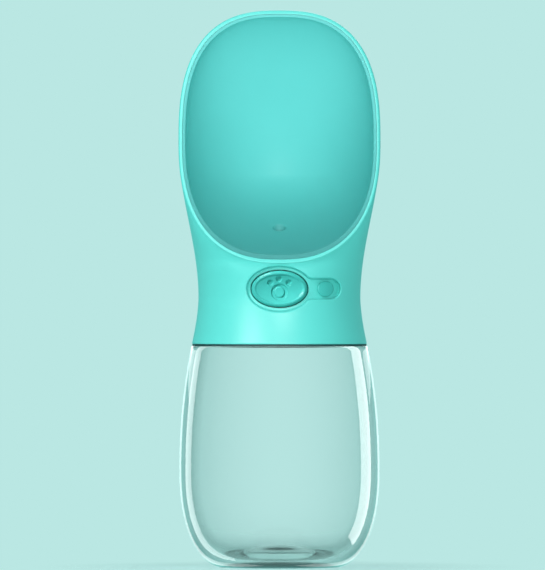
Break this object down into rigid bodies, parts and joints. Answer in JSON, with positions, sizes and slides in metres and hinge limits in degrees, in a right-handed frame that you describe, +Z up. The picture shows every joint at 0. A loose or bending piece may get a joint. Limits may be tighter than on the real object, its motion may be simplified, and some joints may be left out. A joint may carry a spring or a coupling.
{
  "type": "dog travel water bottle",
  "caption": "Clear travel bottle under a scoop-shaped drinking bowl with a push-button valve, a sliding lock and a screw-off head.",
  "frame": {"origin": "bottom centre of the bottle, on the surface it stands on", "axes": "+Z up along the bottle's axis; the bowl and the button face -Y; the lock is on +X"},
  "size_m": [0.0754, 0.075, 0.2084],
  "materials": {
    "clear_plastic": "clear glossy copolyester",
    "mint_plastic": "satin-gloss mint polypropylene",
    "natural_plastic": "natural acetal",
    "dark_silicone": "dark teal silicone",
    "spring_steel": "stainless steel"
  },
  "bodies": {
    "bottle": {"bottle": "clear_plastic"},
    "ring": {"joint_ring": "dark_silicone"},
    "head": {"head_shell": "mint_plastic", "bowl_liner": "mint_plastic", "thread_collar": "natural_plastic", "mouth_gasket": "dark_silicone", "valve_carrier": "natural_plastic", "carrier_oring": "dark_silicone", "carrier_screws": "spring_steel", "valve_seat": "natural_plastic", "stem_oring": "dark_silicone", "gland_bush": "natural_plastic", "valve_spring": "spring_steel", "end_cap": "natural_plastic", "end_oring": "dark_silicone", "outlet_sleeve": "dark_silicone", "button_frame": "natural_plastic", "frame_screws": "spring_steel", "lock_spring": "spring_steel"},
    "button": {"button": "mint_plastic", "valve_stem": "natural_plastic", "poppet_seal": "dark_silicone", "poppet_retainer": "natural_plastic", "stem_clip": "spring_steel"},
    "lock": {"lock_slider": "mint_plastic"}
  },
  "joints": [
    {"name": "head_lift", "type": "slide", "parent": "bottle", "child": "ring", "axis": [0, 0, 1], "range_m": [0, 0.00901]},
    {"name": "head_turn", "type": "hinge", "parent": "ring", "child": "head", "pos_m": [0, 0, 0.09], "axis": [0, 0, 1], "range_deg": [0, 1080]},
    {"name": "button_press", "type": "slide", "parent": "head", "child": "button", "axis": [0, 1, 0], "range_m": [0, 0.003], "stiffness_N_per_m": 600, "springref_m": -0.001, "deforming": ["valve_spring"]},
    {"name": "lock_slide", "type": "hinge", "parent": "head", "child": "lock", "pos_m": [0, 0, 0.1043], "axis": [0, 0, 1], "range_deg": [0, 5]}
  ],
  "couplings": [
    {"joint": "head_lift", "follows": "head_turn", "m_per_rad": 0.00047746}
  ]
}
